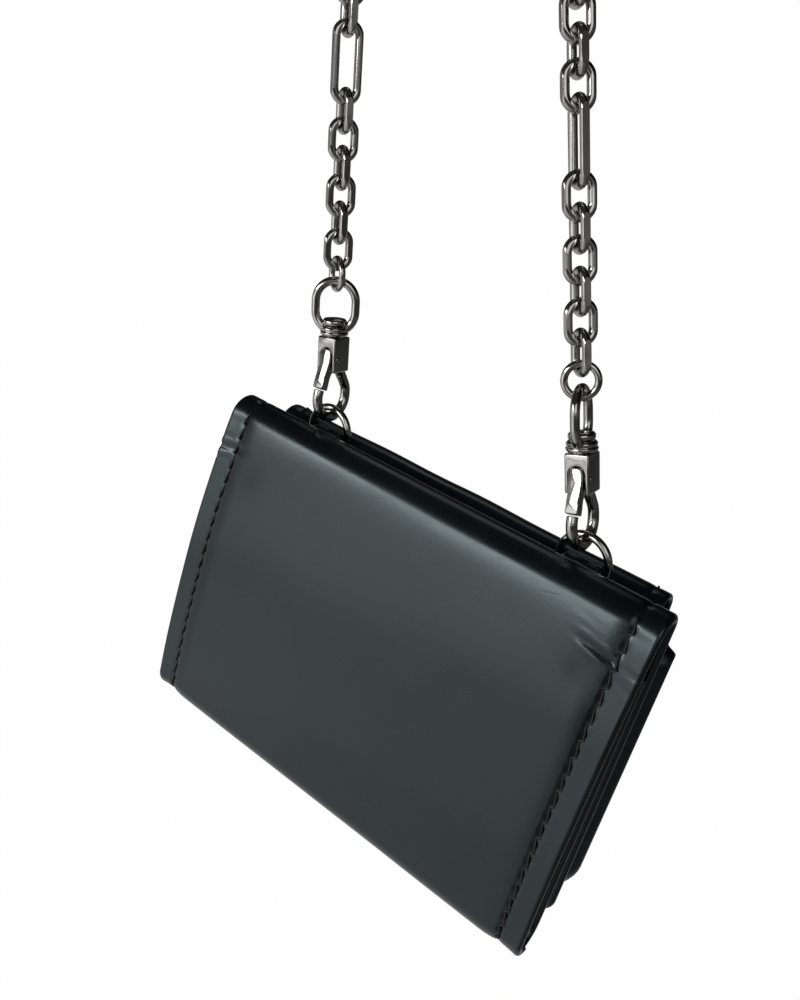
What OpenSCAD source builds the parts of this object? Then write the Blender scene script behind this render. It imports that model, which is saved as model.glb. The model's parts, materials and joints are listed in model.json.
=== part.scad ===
// Small folding wallet hung by two snap hooks from a chain strap.
// The row frame has its origin at the point that the strap hangs from, with +Z up and +X along the wallet.

/* [Wallet] */
// Width of the folded wallet
wallet_w = 112; // [92:1:136]
// Height of the front leaf between its two folds
leaf_drop = 72; // [58:1:90]
// Thickness of the outer leather
leather = 1.4; // [1.1:0.1:1.7]
// Thickness of each lining
lining = 0.6; // [0.4:0.1:0.9]
// Outer radius of the top fold
top_fold_r = 3.4; // [3:0.1:4]
// Outer radius of the bottom fold
bottom_fold_r = 5.2; // [4.4:0.1:6]
// Lean of the front leaf at its top
leaf_lean_top = 22; // [18:1:26]
// Lean of the front leaf at its bottom
leaf_lean_bottom = 4; // [0:1:8]
// Lean of the inner leaf
inner_lean = 7; // [5.8:0.2:8]
// Lean of the back wall
back_lean = 6; // [5:0.5:6.5]

/* [Pouch] */
// Width of the back pouch
pouch_w = 110; // [90:1:132]
// Length of the pouch panels
pouch_h = 69; // [57:1:84]
// Width of the pouch's flap
flap_w = 102; // [84:1:124]
// Length of the flap
flap_h = 60; // [50:1:74]
// Thickness of the pouch leather
pouch_leather = 1.2; // [0.8:0.1:1.4]
// Outer radius of the flap's fold
flap_fold_r = 4.4; // [4.1:0.1:5]
// Lean of the pouch front
pouch_lean = 8.8; // [8.2:0.1:9.4]
// Radius of the pouch's and the flap's bottom corners
corner_r = 8; // [4:1:14]
// Radius of the press stud's cap
snap_r = 5.4; // [4.2:0.2:6.8]

/* [D rings] */
// Distance between the two D rings
ring_gap = 68; // [56:1:82]
// Outside width of a D ring
ring_w = 12.4; // [11:0.1:15]
// Wire of a D ring
ring_wire = 1.7; // [1.4:0.1:2]
// Thickness of a ring tab's leather
tab_leather = 1; // [0.8:0.1:1.2]
// Length of a ring tab below the ring
tab_h = 14; // [10:1:20]

/* [Snap hooks] */
// Wire of the hook
hook_wire = 2.3; // [2:0.1:2.6]
// Radius of the hook's bend
hook_r = 4.8; // [4.4:0.1:5.2]
// Width and depth of the hook's square head
head_w = 5.2; // [4.8:0.1:6]
// Height of the hook's square head
head_h = 7.9; // [7:0.1:9]
// Height from the bend's centre to the head
hook_reach = 6; // [5.4:0.1:7]
// Width of the gate
gate_w = 2.8; // [2.3:0.1:3]
// Radius of the gate pin
gate_pin_r = 0.6; // [0.5:0.05:0.8]

/* [Swivel eyes] */
// Outside width of the swivel eye
eye_w = 10.9; // [10:0.1:12.5]
// Wire of the swivel eye
eye_wire = 1.9; // [1.6:0.1:2.1]
// Straight length of the eye's sides
eye_side = 2.2; // [1.6:0.1:3]
// Radius of the collar under the eye
collar_r = 3.2; // [3:0.1:3.6]
// Height of the collar
collar_h = 2.2; // [1.8:0.1:2.6]
// Radius of the swivel rivet's disc head
rivet_head_r = 2.7; // [2.4:0.1:2.9]
// Radius of the swivel rivet's shank
rivet_r = 1.3; // [1.1:0.05:1.5]

/* [Chain] */
// Outside width of a jump ring
jump_w = 7.9; // [7.4:0.1:9]
// Wire of a jump ring
jump_wire = 1.45; // [1.2:0.05:1.6]
// Wire of the chain links
link_wire = 1.8; // [1.5:0.05:1.9]
// Outside width of a chain link
link_w = 6.9; // [6.6:0.1:7.8]
// Outside length of a short link
short_link = 9.3; // [8.8:0.1:10.2]
// Outside length of a long link
long_link = 16.4; // [14.2:0.1:18.2]
// Depth of the flats ground on the links' sides
flat_cut = 0.3; // [0.1:0.05:0.4]

/* [Hang] */
// Inward lean of the two strands
strand_lean = 4.7; // [4.2:0.1:5.4]
// Tilt of the wallet along its width
hang_tilt = 14.5; // [10:0.5:18]

/* [Hidden] */
$fn = 48;
link_count = 34;
links_between_long = 6;
left_links = 8;
right_links = 10;
wear_gap = 0.12;
hook_gap = 0.15;
shaft_gap = 0.08;
leather_gap = 0.15;
wall = leather + lining;

left_names = [for (k = [1 : left_links]) str("link_left_", k)];
right_names = [for (k = [1 : right_links]) str("link_right_", k)];

hide = "#1c2226";
lining_tone = "#2a3034";
nickel = "#b9babc";
steel = "#8f9296";

// Heights along one clasp, measured from the centre of its D ring's bend
ring_r = (ring_w - ring_wire) / 2;
hook_bottom = ring_r - ring_wire / 2 - hook_gap - hook_wire / 2;
hook_centre = hook_bottom + hook_r;
head_base = hook_centre + hook_reach;
head_top = head_base + head_h;
eye_r = (eye_w - eye_wire) / 2;
collar_base = head_top + wear_gap;
collar_top = collar_base + collar_h;
eye_low = collar_base + eye_w / 2;
eye_high = eye_low + eye_side;
eye_inner_top = eye_high + eye_r - eye_wire / 2;
jump_r = (jump_w - jump_wire) / 2;
jump_centre = eye_inner_top - wear_gap - jump_wire / 2 + jump_r;
strap_start = jump_centre + jump_r - jump_wire / 2 - wear_gap / 2;
rivet_head_h = 1.6;
rivet_depth = 2.8;
tip_slope = 28;
gate_gap = 0.25;
gate_pin_y = -1.3;
gate_pin_rise = 3;
gate_pin_z = head_base + gate_pin_rise;
pin_overhang = 0.05;

// D ring: the bar lies on the wallet's own X axis and the bend's centre is above it
ring_corner = 1.2;
ring_side = 0.45;
ring_bend_z = ring_corner + ring_side;

// Chain pitches, from the left jump ring to the right one
function is_long(k) = k % (links_between_long + 1) == 0;
function link_length(k) = is_long(k) ? long_link : short_link;
function pitch(k) = link_length(k) - 2 * link_wire - wear_gap;
function run(k) = k == 0 ? 0 : run(k - 1) + pitch(k);
strap_run = run(link_count);

// Where the two strands start, measured from the middle of the D rings' bars
function tilted(x, z) = [cos(hang_tilt) * x + sin(hang_tilt) * z, -sin(hang_tilt) * x + cos(hang_tilt) * z];
function bend_centre(side) = tilted(side * ring_gap / 2, ring_bend_z);
function up(side) = [-side * sin(strand_lean), cos(strand_lean)];
function strand_start(side) = bend_centre(side) + strap_start * up(side);

// The strap is two straight strands, tangent to one arch
start_l = strand_start(-1);
start_r = strand_start(1);
reach_sum = (start_r[0] - start_l[0]) / sin(strand_lean);
reach_diff = (start_l[1] - start_r[1]) / cos(strand_lean);
reach_l = (reach_sum - reach_diff) / 2;
arch_turn = 180 - 2 * strand_lean;
arch_r = (reach_sum - strap_run) / (2 / tan(strand_lean) - arch_turn * PI / 180);
straight_l = reach_l - arch_r / tan(strand_lean);
arch_run = arch_r * arch_turn * PI / 180;
arch_centre = start_l + reach_l * up(-1) - [0, arch_r / sin(strand_lean)];
hang_point = arch_centre + [0, arch_r - link_w / 2];

function on_arch(turn) = arch_centre + arch_r * [-cos(strand_lean + turn), sin(strand_lean + turn)];
function on_strap(s) =
    s < straight_l ? start_l + s * up(-1) :
    s < straight_l + arch_run ? on_arch((s - straight_l) / arch_r * 180 / PI) :
    start_r + (strap_run - s) * up(1);

// Each link turns a quarter from the last, and the arch takes up the strands' different turns
first_turn = 61;
last_turn = 130;
first_twisted = left_links;
last_twisted = link_count - right_links + 1;
twist_share = (last_turn - first_turn) / (last_twisted - first_twisted);
function twist(k) = first_turn + 90 * (k - 1)
    + twist_share * (min(max(k, first_twisted), last_twisted) - first_twisted);
jump_turn_left = first_turn - 90;
jump_turn_right = 24;
eye_turn_left = 30;
eye_turn_right = 100;
rivet_clear = 0.25;

// Wallet section in its own Y and Z, with the D rings' bars at the origin
tab_back = ring_wire / 2 + shaft_gap + tab_leather;
top_drop = 0.4;
top_centre = [-top_fold_r - tab_back - leather_gap, -top_drop];
function ahead(lean) = [-cos(lean), sin(lean)];
function framed(origin, lean, p) =
    origin + [p[0] * cos(lean) + p[1] * sin(lean), -p[0] * sin(lean) + p[1] * cos(lean)];
leaf_start = top_centre + top_fold_r * ahead(leaf_lean_top);
leaf_r = leaf_drop / (sin(leaf_lean_top) - sin(leaf_lean_bottom));
leaf_centre = leaf_start - leaf_r * ahead(leaf_lean_top);
function leaf_lean(t) = leaf_lean_top + (leaf_lean_bottom - leaf_lean_top) * t;
function on_leaf(t, depth) = leaf_centre + (leaf_r - depth) * ahead(leaf_lean(t));
bottom_centre = on_leaf(1, 0) - bottom_fold_r * ahead(leaf_lean_bottom);
inner_start = bottom_centre - bottom_fold_r * ahead(inner_lean);
inner_share = 0.85;
inner_h = leaf_drop * inner_share;
back_start = top_centre - top_fold_r * ahead(back_lean);
back_h = leaf_drop + 1;
pocket_sheet = 0.8;
pocket_gap = 0.1;
note_low = 3;
note_top_share = 0.16;
leaf_pocket_from = 0.45;
leaf_pocket_to = 0.94;
card_count = 3;
card_step = 11;
card_inset = 2;
card_low = 5;
card_top = 8;
tab_side_gap = 0.3;
flap_rise = 0.6;
flap_behind = 1.6;
flap_centre = [flap_fold_r + flap_behind, flap_rise - flap_fold_r];
pouch_start = flap_centre + flap_fold_r * ahead(pouch_lean);
flap_lean = 4;
flap_start = flap_centre - flap_fold_r * ahead(flap_lean);
pouch_back_lean = 5.5;
pouch_back_start = flap_start - [pouch_leather + 2 * leather_gap, 0];
pouch_mouth = 6;
gusset = 1;
seam_gap = 0.05;
snap_z = -0.8 * flap_h;
snap_h = 1.5;
snap_disc = 0.5;
snap_gap = 0.02;
socket_r = 0.8 * snap_r;
stud_r = 0.7 * snap_r;

function arc(centre, r, from, to, steps = 16) =
    [for (i = [0 : steps]) let (turn = from + (to - from) * i / steps) centre + r * [cos(turn), sin(turn)]];
function backwards(list) = [for (i = [len(list) - 1 : -1 : 0]) list[i]];

// Places a piece in the frame of the hanging wallet
module hung() {
    translate([-hang_point[0], 0, -hang_point[1]]) rotate([0, hang_tilt, 0]) children();
}

// Places a piece along one clasp, with the centre of its D ring's bend at the origin
module clasp(side) {
    at = bend_centre(side) - hang_point;
    translate([at[0], 0, at[1]]) rotate([0, -side * strand_lean, 0]) children();
}

// Extrudes a Y and Z outline along the wallet's width
module across(width) {
    rotate([90, 0, 90]) linear_extrude(width, center = true) children();
}

// Places a flat panel that hangs from a point at a lean, with its outer face at Y = 0
module panel_frame(start, lean) {
    translate([0, start[0], start[1]]) rotate([-lean, 0, 0]) children();
}

module panel(width, front, back, low, high) {
    translate([-width / 2, front, low]) cube([width, back - front, high - low]);
}

module fold_strip(width, centre, outer, thick, from, to) {
    across(width)
        polygon(concat(arc(centre, outer, from, to), backwards(arc(centre, outer - thick, from, to))));
}

module leaf_sheet(width, outer, inner, from, to) {
    steps = 14;
    across(width) polygon(concat(
        [for (i = [0 : steps]) on_leaf(from + (to - from) * i / steps, outer)],
        [for (i = [steps : -1 : 0]) on_leaf(from + (to - from) * i / steps, inner)]));
}

module back_wall() {
    color(hide) hung() panel_frame(back_start, back_lean)
        panel(wallet_w, -leather, 0, -back_h, -leather_gap);
}

module back_lining() {
    color(lining_tone) hung() panel_frame(back_start, back_lean)
        panel(wallet_w - 1, -wall, -leather, -back_h, -leather_gap);
}

module note_pocket() {
    color(hide) hung() panel_frame(back_start, back_lean)
        panel(wallet_w - 2, -wall - pocket_gap - pocket_sheet, -wall - pocket_gap,
            -back_h + note_low, -note_top_share * back_h);
}

module top_fold() {
    color(hide) hung() fold_strip(wallet_w, top_centre, top_fold_r, wall, -back_lean, 180 - leaf_lean_top);
}

module front_leaf() {
    color(hide) hung() leaf_sheet(wallet_w, 0, leather, leather_gap / leaf_drop, 1 - leather_gap / leaf_drop);
}

module leaf_lining() {
    color(lining_tone) hung()
        leaf_sheet(wallet_w - 1, leather, wall, leather_gap / leaf_drop, 1 - leather_gap / leaf_drop);
}

module leaf_pocket() {
    outer = wall + pocket_gap;
    color(hide) hung()
        leaf_sheet(wallet_w - 2, outer, outer + pocket_sheet, leaf_pocket_from, leaf_pocket_to);
}

module bottom_fold() {
    color(hide) hung()
        fold_strip(wallet_w, bottom_centre, bottom_fold_r, wall, 180 - leaf_lean_bottom, 360 - inner_lean);
}

module inner_leaf() {
    color(hide) hung() panel_frame(inner_start, inner_lean)
        panel(wallet_w - 1, -leather, 0, leather_gap, inner_h);
}

module inner_lining() {
    color(lining_tone) hung() panel_frame(inner_start, inner_lean)
        panel(wallet_w - 2, -wall, -leather, leather_gap, inner_h);
}

// Stepped card pockets on the inner leaf's lining
module card_slots() {
    color(hide) hung() panel_frame(inner_start, inner_lean)
        for (i = [0 : card_count - 1])
            panel(wallet_w - 2 * card_inset, -wall - (i + 1) * pocket_sheet,
                -wall - i * pocket_sheet - pocket_gap, card_low, inner_h - card_top - i * card_step);
}

// Leather loop round a D ring's bar, with its two tails sewn behind the back wall
module ring_tab(side) {
    bore = ring_wire / 2 + shaft_gap;
    width = ring_w - ring_wire - 2 * (ring_corner + tab_side_gap);
    color(hide) hung() translate([side * ring_gap / 2, 0, 0]) rotate([-back_lean, 0, 0]) difference() {
        union() {
            rotate([0, 90, 0]) cylinder(r = bore + tab_leather, h = width, center = true);
            translate([-width / 2, -bore - tab_leather, -tab_h]) cube([width, 2 * tab_leather, tab_h]);
        }
        rotate([0, 90, 0]) cylinder(r = bore, h = width + 2, center = true);
    }
}

// Flat sheet in the X and Z plane with its bottom corners rounded
module rounded_sheet(width, front, back, low, high, r) {
    half = width / 2;
    outline = concat(
        [[half, high], [-half, high]],
        arc([r - half, low + r], r, 180, 270, 8),
        arc([half - r, low + r], r, 270, 360, 8));
    translate([0, back, 0]) rotate([90, 0, 0]) linear_extrude(back - front) polygon(outline);
}

module pouch_front() {
    color(hide) hung() panel_frame(pouch_start, pouch_lean)
        rounded_sheet(pouch_w, 0, pouch_leather, -pouch_h, -flap_rise - pouch_mouth, corner_r);
    color(hide) hung() panel_frame(pouch_start, pouch_lean)
        panel(flap_w, 0, pouch_leather, -flap_rise - pouch_mouth - leather_gap, -leather_gap);
}

module pouch_back() {
    color(hide) hung() panel_frame(pouch_back_start, pouch_back_lean)
        rounded_sheet(pouch_w, -pouch_leather, 0, -pouch_h, -pouch_mouth, corner_r);
}

// Strip that closes the pouch at its two sides and its bottom
module pouch_gusset() {
    front_y = pouch_leather + seam_gap;
    back_y = -pouch_leather - seam_gap;
    front_top = framed(pouch_start, pouch_lean, [front_y, -pouch_mouth - 1]);
    front_low = framed(pouch_start, pouch_lean, [front_y, -pouch_h]);
    back_top = framed(pouch_back_start, pouch_back_lean, [back_y, -pouch_mouth]);
    back_low = framed(pouch_back_start, pouch_back_lean, [back_y, -pouch_h]);
    low = min(front_low[1], back_low[1]);
    sole = max(front_low[1], back_low[1]) + gusset;
    reach = 2 * pouch_h;
    color(hide) hung() intersection() {
        across(2 * pouch_w) polygon([front_top, front_low, back_low, back_top]);
        difference() {
            rounded_sheet(pouch_w, -reach, reach, low, 0, corner_r);
            rounded_sheet(pouch_w - 2 * gusset, -reach - 1, reach + 1, sole, 1, corner_r - gusset);
        }
    }
}

module flap_fold() {
    color(hide) hung()
        fold_strip(flap_w, flap_centre, flap_fold_r, pouch_leather, -flap_lean, 180 - pouch_lean);
}

module coin_flap() {
    color(hide) hung() panel_frame(flap_start, flap_lean)
        rounded_sheet(flap_w, -pouch_leather, 0, -flap_h, -leather_gap, corner_r);
}

// A disc of the press stud, in the flap's frame, between two depths
module snap_part(start, lean, r, front, back) {
    hung() panel_frame(start, lean)
        translate([0, back, snap_z]) rotate([90, 0, 0]) cylinder(r = r, h = back - front);
}

module snap_cap() {
    color(steel) snap_part(flap_start, flap_lean, snap_r, snap_gap, snap_h);
}

module snap_socket() {
    color(steel) snap_part(flap_start, flap_lean, socket_r,
        -pouch_leather - snap_disc, -pouch_leather - snap_gap);
}

module snap_stud() {
    color(steel) snap_part(pouch_back_start, pouch_back_lean, stud_r, snap_gap, snap_disc);
}

module snap_post() {
    color(steel) snap_part(pouch_back_start, pouch_back_lean, socket_r,
        -pouch_leather - snap_disc, -pouch_leather - snap_gap);
}

// Bent wire in the X and Z plane: an arc of the wire about the origin
module wire_arc(r, wire, from, turn) {
    rotate([90, 0, 0]) rotate([0, 0, from]) rotate_extrude(angle = turn) translate([r, 0]) circle(d = wire);
}

module d_ring(side) {
    half = ring_r - ring_corner;
    side_h = ring_bend_z - ring_corner;
    color(nickel) hung() translate([side * ring_gap / 2, 0, 0]) {
        rotate([0, 90, 0]) cylinder(d = ring_wire, h = 2 * half, center = true);
        for (s = [-1, 1]) {
            translate([s * half, 0, ring_corner])
                wire_arc(ring_corner, ring_wire, s > 0 ? 270 : 180, 90);
            translate([s * ring_r, 0, ring_corner]) cylinder(d = ring_wire, h = side_h);
        }
        translate([0, 0, ring_bend_z]) wire_arc(ring_r, ring_wire, 0, 180);
    }
}

// Hook with its square head, slotted at the front for the gate
module hook(side) {
    bend_past = 30;
    arm_start = hook_r * [cos(bend_past), sin(bend_past)];
    arm_in_head = 1.1;
    arm = (hook_reach - arm_start[1]) / cos(bend_past) + arm_in_head;
    slot_side = 0.2;
    slot_w = gate_w + 2 * slot_side;
    slot_h = 5.6;
    slot_back = 0.6;
    color(nickel) clasp(side) difference() {
        union() {
            translate([0, 0, hook_centre]) rotate([0, 0, 90]) {
                wire_arc(hook_r, hook_wire, 180 - tip_slope, 180 + tip_slope + bend_past);
                translate([arm_start[0], 0, arm_start[1]]) rotate([0, -bend_past, 0])
                    cylinder(d = hook_wire, h = arm);
            }
            translate([-head_w / 2, -head_w / 2, head_base]) cube([head_w, head_w, head_h]);
        }
        translate([-slot_w / 2, -head_w, head_base - 1]) cube([slot_w, head_w + slot_back, slot_h + 1]);
        translate([0, gate_pin_y, gate_pin_z]) rotate([0, 90, 0])
            cylinder(r = gate_pin_r, h = head_w + 2, center = true);
        translate([0, 0, head_top - rivet_depth]) cylinder(r = rivet_r, h = rivet_depth + 1);
    }
}

// A corner of the gate's foot, which lies along the hook's sloping tip
function gate_foot(r) = [-r * cos(tip_slope), r * sin(tip_slope) - hook_reach]
    + gate_gap * [sin(tip_slope), cos(tip_slope)];

// Lever that closes the hook, turning on its pin
module gate(side) {
    outline = [[-2.5, 5.2], [-3, 2.6], [-hook_r + 0.1, -1],
        gate_foot(hook_r + hook_wire / 2), gate_foot(hook_r - hook_wire / 2),
        [-2.3, -1], [-0.3, 1.8], [-0.1, 3.2], [-0.9, 4.5], [-2.2, 5.2]];
    color(nickel) clasp(side) difference() {
        translate([0, 0, head_base]) across(gate_w) polygon(outline);
        translate([0, gate_pin_y, gate_pin_z]) rotate([0, 90, 0])
            cylinder(r = gate_pin_r + shaft_gap, h = gate_w + 2, center = true);
    }
}

module gate_pin(side) {
    color(steel) clasp(side) translate([0, gate_pin_y, gate_pin_z]) rotate([0, 90, 0])
        cylinder(r = gate_pin_r, h = head_w + 2 * pin_overhang, center = true);
}

// Leaf spring behind the gate, inside the head's slot
module gate_spring(side) {
    spring = [2, 0.3, 4.4];
    spring_front = 0.25;
    spring_low = 0.3;
    color(steel) clasp(side) translate([-spring[0] / 2, spring_front, head_base + spring_low]) cube(spring);
}

module rivet(side) {
    color(nickel) clasp(side) {
        translate([0, 0, head_top - rivet_depth])
            cylinder(r = rivet_r, h = rivet_depth + wear_gap + collar_h + wear_gap);
        translate([0, 0, collar_top + wear_gap]) cylinder(r = rivet_head_r, h = rivet_head_h);
    }
}

// Oval eye on its collar, which turns on the swivel rivet
module eye(side, turn) {
    color(nickel) clasp(side) rotate([0, 0, turn]) difference() {
        union() {
            translate([0, 0, eye_low]) wire_arc(eye_r, eye_wire, 180, 180);
            translate([0, 0, eye_high]) wire_arc(eye_r, eye_wire, 0, 180);
            for (s = [-1, 1]) translate([s * eye_r, 0, eye_low]) cylinder(d = eye_wire, h = eye_side);
            translate([0, 0, collar_base]) cylinder(r = collar_r, h = collar_h);
        }
        translate([0, 0, collar_top])
            cylinder(r = rivet_head_r + rivet_clear, h = rivet_head_h + 2 * rivet_clear);
        translate([0, 0, collar_base - 1]) cylinder(r = rivet_r + shaft_gap, h = collar_h + 2);
    }
}

module jump_ring(side, turn) {
    color(nickel) clasp(side) translate([0, 0, jump_centre]) rotate([90, 0, turn])
        rotate_extrude() translate([jump_r, 0]) circle(d = jump_wire);
}

// One oval link in the X and Z plane, with flats ground on its sides
module oval_link(length) {
    bend = (link_w - link_wire) / 2;
    straight = length - link_w;
    intersection() {
        union() {
            translate([0, 0, straight / 2]) wire_arc(bend, link_wire, 0, 180);
            translate([0, 0, -straight / 2]) wire_arc(bend, link_wire, 180, 180);
            for (s = [-1, 1]) translate([s * bend, 0, 0])
                cylinder(d = link_wire, h = straight, center = true);
        }
        cube([link_w - 2 * flat_cut, 2 * link_wire, 2 * length], center = true);
    }
}

// Link number k of the strap, counted from the left jump ring
module strap_link(k) {
    from = on_strap(run(k - 1));
    to = on_strap(run(k));
    mid = (from + to) / 2 - hang_point;
    span = to - from;
    translate([mid[0], 0, mid[1]]) rotate([0, atan2(span[0], span[1]), 0]) rotate([0, 0, twist(k)])
        oval_link(link_length(k));
}

module strap_top() {
    color(nickel) for (k = [left_links + 1 : link_count - right_links]) strap_link(k);
}

back_wall();
back_lining();
note_pocket();
top_fold();
front_leaf();
leaf_lining();
leaf_pocket();
bottom_fold();
inner_leaf();
inner_lining();
card_slots();
ring_tab(-1);  // ring_tab_left
ring_tab(1);  // ring_tab_right
pouch_front();
pouch_gusset();
pouch_back();
flap_fold();
coin_flap();
snap_cap();
snap_socket();
snap_stud();
snap_post();
d_ring(-1);  // ring_left
d_ring(1);  // ring_right
hook(-1);  // hook_left
hook(1);  // hook_right
gate(-1);  // gate_left
gate(1);  // gate_right
gate_pin(-1);  // gate_pin_left
gate_pin(1);  // gate_pin_right
gate_spring(-1);  // gate_spring_left
gate_spring(1);  // gate_spring_right
rivet(-1);  // rivet_left
rivet(1);  // rivet_right
eye(-1, eye_turn_left);  // eye_left
eye(1, eye_turn_right);  // eye_right
jump_ring(-1, jump_turn_left);  // jump_ring_left
jump_ring(1, jump_turn_right);  // jump_ring_right
for (k = [1 : left_links])
    color(nickel) strap_link(k);
for (k = [1 : right_links])
    color(nickel) strap_link(link_count + 1 - k);
strap_top();
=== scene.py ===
import json
import random
from bisect import bisect_right
from math import ceil, cos, exp, hypot, pi, radians, sin, sqrt, tau

import bmesh
import bpy
from mathutils import Matrix, Vector, noise


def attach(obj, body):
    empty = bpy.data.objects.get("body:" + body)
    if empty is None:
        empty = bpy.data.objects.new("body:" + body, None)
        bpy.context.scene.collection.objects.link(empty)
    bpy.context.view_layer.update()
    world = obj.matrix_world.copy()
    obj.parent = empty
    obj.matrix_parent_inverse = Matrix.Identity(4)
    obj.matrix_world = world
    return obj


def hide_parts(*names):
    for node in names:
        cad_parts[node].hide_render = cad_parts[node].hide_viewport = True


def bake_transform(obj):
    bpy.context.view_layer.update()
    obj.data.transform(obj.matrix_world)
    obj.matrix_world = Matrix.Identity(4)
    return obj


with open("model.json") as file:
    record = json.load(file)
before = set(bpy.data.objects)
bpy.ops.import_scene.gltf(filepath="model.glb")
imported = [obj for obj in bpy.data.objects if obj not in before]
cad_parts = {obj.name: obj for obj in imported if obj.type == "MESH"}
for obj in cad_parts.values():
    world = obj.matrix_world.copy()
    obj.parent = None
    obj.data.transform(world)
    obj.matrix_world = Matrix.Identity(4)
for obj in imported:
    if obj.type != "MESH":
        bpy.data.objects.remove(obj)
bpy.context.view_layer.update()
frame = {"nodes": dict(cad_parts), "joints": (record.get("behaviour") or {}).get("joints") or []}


mm = 0.001
joints = {joint["name"]: joint for joint in frame["joints"]}
barMid = Vector(joints["wallet_swing"]["pos_m"])  # half way between the two D rings' bars
widthAxis = Vector(joints["wallet_swing"]["axis"]).normalized()
depthAxis = Vector((0, 1, 0))
riseAxis = widthAxis.cross(depthAxis)


def place(x, y, z):
    return barMid + (widthAxis * x + depthAxis * y + riseAxis * z) * mm


def sectionPoint(jointName):
    away = (Vector(joints[jointName]["pos_m"]) - barMid) / mm
    return Vector((away.dot(depthAxis), away.dot(riseAxis)))


camera = {
    "azimuth": 36.635,
    "elevation": 17.474,
    "roll": 0.317,
    "distance": 200,
    "aim": (-8.53, -4.65, -1.35),  # from the middle of the bars, in the row's own axes
    "lens": 32.95,
}


def addCamera():
    azimuth, elevation = radians(camera["azimuth"]), radians(camera["elevation"])
    forward = Vector((-sin(azimuth) * cos(elevation), cos(azimuth) * cos(elevation), -sin(elevation)))
    right = Vector((cos(azimuth), sin(azimuth), 0))
    turn = Matrix.Rotation(-radians(camera["roll"]), 3, forward)
    right = turn @ right
    up = right.cross(forward)
    data = bpy.data.cameras.new("camera")
    data.lens = camera["lens"]
    data.clip_start = 0.005
    body = bpy.data.objects.new("camera", data)
    basis = Matrix((right, up, -forward)).transposed().to_4x4()
    aim = barMid + Vector(camera["aim"]) * mm
    body.matrix_world = Matrix.Translation(aim - forward * camera["distance"] * mm) @ basis
    bpy.context.scene.collection.objects.link(body)
    bpy.context.scene.camera = body


addCamera()
print("camera placed")


def addNode(tree, kind, **settings):
    node = tree.nodes.new(kind)
    for name, value in settings.items():
        setattr(node, name, value)
    return node


def newGroup(name, inputs, outputs):
    tree = bpy.data.node_groups.new(name, "ShaderNodeTree")
    for socket, value in inputs:
        made = tree.interface.new_socket(name=socket, in_out="INPUT", socket_type="NodeSocketFloat")
        made.default_value = value
    for socket in outputs:
        tree.interface.new_socket(name=socket, in_out="OUTPUT", socket_type="NodeSocketFloat")
    return tree, addNode(tree, "NodeGroupInput"), addNode(tree, "NodeGroupOutput")


def scaled(tree, source, factor):
    node = addNode(tree, "ShaderNodeMath", operation="MULTIPLY")
    tree.links.new(source, node.inputs[0])
    if isinstance(factor, (int, float)):
        node.inputs[1].default_value = factor
    else:
        tree.links.new(factor, node.inputs[1])
    return node.outputs[0]


def combined(tree, first, second, operation="ADD"):
    node = addNode(tree, "ShaderNodeMath", operation=operation)
    tree.links.new(first, node.inputs[0])
    tree.links.new(second, node.inputs[1])
    return node.outputs[0]


def mapped(tree, source, low, high, toLow, toHigh):
    node = addNode(tree, "ShaderNodeMapRange")
    tree.links.new(source, node.inputs["Value"])
    for socket, value in zip(("From Min", "From Max", "To Min", "To Max"), (low, high, toLow, toHigh)):
        node.inputs[socket].default_value = value
    return node.outputs["Result"]


def noiseField(tree, vector, scale, detail=3, stretch=None, rotation=None):
    if stretch:
        turn = addNode(tree, "ShaderNodeMapping")
        turn.inputs["Scale"].default_value = stretch
        turn.inputs["Rotation"].default_value = rotation or (0, 0, 0)
        tree.links.new(vector, turn.inputs["Vector"])
        vector = turn.outputs["Vector"]
    field = addNode(tree, "ShaderNodeTexNoise")
    field.inputs["Detail"].default_value = detail
    tree.links.new(vector, field.inputs["Vector"])
    if isinstance(scale, (int, float)):
        field.inputs["Scale"].default_value = scale
    else:
        tree.links.new(scale, field.inputs["Scale"])
    return field.outputs["Fac"]


def makeHideGrain():
    tree, given, result = newGroup(
        "hideGrain", [("Pore Scale", 2600), ("Ripple Scale", 130), ("Ripple Share", 0.5)], ["Height"])
    where = addNode(tree, "ShaderNodeTexCoord").outputs["Object"]
    pores = addNode(tree, "ShaderNodeTexVoronoi", feature="F1")
    tree.links.new(where, pores.inputs["Vector"])
    tree.links.new(given.outputs["Pore Scale"], pores.inputs["Scale"])
    ripple = noiseField(tree, where, given.outputs["Ripple Scale"], 4)
    both = combined(tree, scaled(tree, pores.outputs["Distance"], 0.35),
                    scaled(tree, ripple, given.outputs["Ripple Share"]))
    tree.links.new(both, result.inputs["Height"])
    return tree


def makeHandlingMarks():
    tree, given, result = newGroup(
        "handlingMarks", [("Smudge Scale", 55), ("Scratch Scale", 1)], ["Smudge", "Scratch"])
    where = addNode(tree, "ShaderNodeTexCoord").outputs["Object"]
    smudge = noiseField(tree, where, given.outputs["Smudge Scale"], 5)
    streaks = None
    for stretch, rotation in (((60, 900, 2600), (0.1, 0.5, 0.2)), ((90, 1200, 2200), (0.3, 1.1, -0.3))):
        lines = noiseField(tree, where, given.outputs["Scratch Scale"], 2, stretch, rotation)
        lines = mapped(tree, lines, 0.66, 0.74, 0, 1)
        streaks = lines if streaks is None else combined(tree, streaks, lines, "MAXIMUM")
    tree.links.new(smudge, result.inputs["Smudge"])
    tree.links.new(streaks, result.inputs["Scratch"])
    return tree


hideGrain = makeHideGrain()
handlingMarks = makeHandlingMarks()


def newMaterial(name):
    material = bpy.data.materials.new(name)
    material.use_nodes = True
    return material, material.node_tree, material.node_tree.nodes["Principled BSDF"]


def placeGroup(tree, group, **values):
    node = addNode(tree, "ShaderNodeGroup", node_tree=group)
    for name, value in values.items():
        node.inputs[name].default_value = value
    return node


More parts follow.
